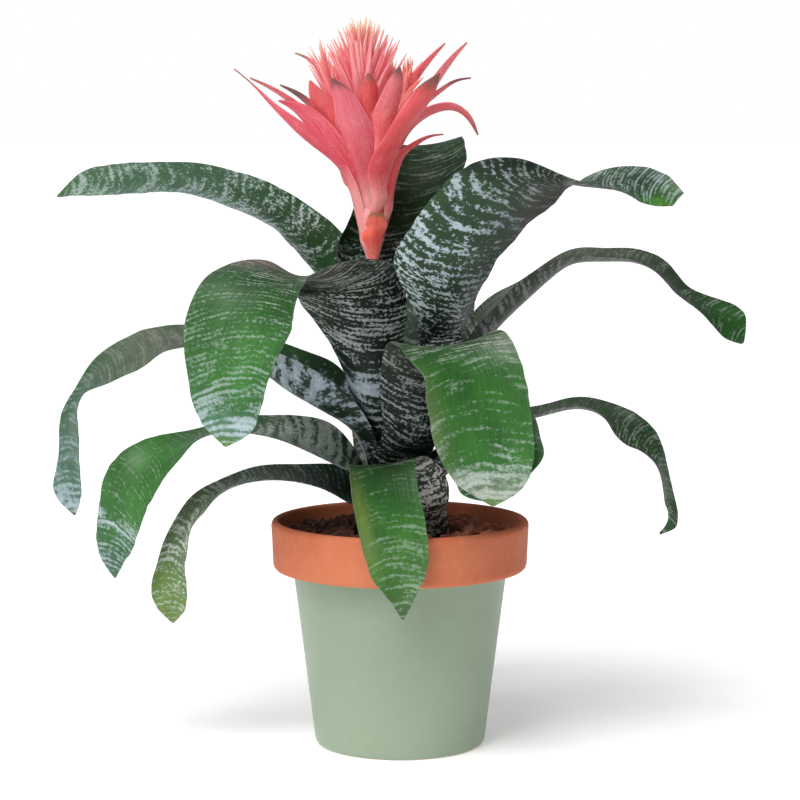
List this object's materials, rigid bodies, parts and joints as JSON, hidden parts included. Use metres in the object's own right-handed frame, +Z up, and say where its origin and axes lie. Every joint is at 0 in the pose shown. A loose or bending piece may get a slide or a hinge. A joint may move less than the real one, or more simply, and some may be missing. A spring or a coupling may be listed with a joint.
{
  "type": "potted bromeliad",
  "caption": "Vase-shaped bromeliad with arching silver-banded strap leaves and a pink bract flower head on a short stalk, growing in potting mix in a two-tone clay pot.",
  "frame": {"origin": "centre of the pot's flat underside, on the surface it stands on", "axes": "+Z up along the pot's axis, -Y towards the viewer of the front, +X to the viewer's right"},
  "size_m": [0.444, 0.2851, 0.463],
  "materials": {
    "pot_clay": "satin sage-green paint on the body, bare matt terracotta rim band",
    "potting_mix": "coarse dark bark chips, matt",
    "rootstock": "rough, fibrous",
    "leaf": "leathery dark green with broken silver-grey cross bands",
    "stalk": "pale pinkish green, mealy",
    "bract_pink": "satin coral pink, paler towards the base",
    "bract_pale": "satin pale pink, mealy",
    "bract_red": "satin orange red",
    "floral_bract": "satin coral pink with pale yellow tips"
  },
  "bodies": {
    "root": {"pot": "pot_clay", "potting_mix": "potting_mix", "rootstock": "rootstock", "leaf_back_upper": "leaf", "leaf_right_upper": "leaf", "leaf_left_upper": "leaf", "leaf_front_left": "leaf", "leaf_right_middle": "leaf", "leaf_left_middle": "leaf", "leaf_back_right": "leaf", "leaf_front_right": "leaf", "leaf_back_left": "leaf", "leaf_right_lower": "leaf", "leaf_left_lower": "leaf", "leaf_front_right_inner": "leaf", "leaf_back_lower": "leaf", "leaf_left_lowest": "leaf", "leaf_front_lowest": "leaf", "flower_stalk": "stalk", "bract_right_spike": "bract_pink", "bract_right_back": "bract_pink", "bract_left_spike": "bract_pink", "bract_right_tall": "bract_pink", "bract_left_back": "bract_pink", "bract_back_inner": "bract_pink", "bract_left_slender": "bract_pink", "bract_front_centre": "bract_pink", "bract_back_right_inner": "bract_pink", "bract_front_wide": "bract_pink", "bract_right_drooping": "bract_pink", "bract_back_left": "bract_pink", "bract_front_left": "bract_pink", "bract_front_right": "bract_pink", "bract_back_right": "bract_pink", "bract_right_hooked": "bract_pink", "bract_left_long": "bract_pink", "bract_back_long": "bract_pink", "scape_bract_front": "bract_red", "scape_bract_left": "bract_pale", "scape_bract_right": "bract_pale", "flower_spike_main": "floral_bract", "flower_spike_left": "floral_bract", "flower_spike_right": "floral_bract", "flower_spike_back_left": "floral_bract", "flower_spike_back_right": "floral_bract"}
  },
  "joints": []
}
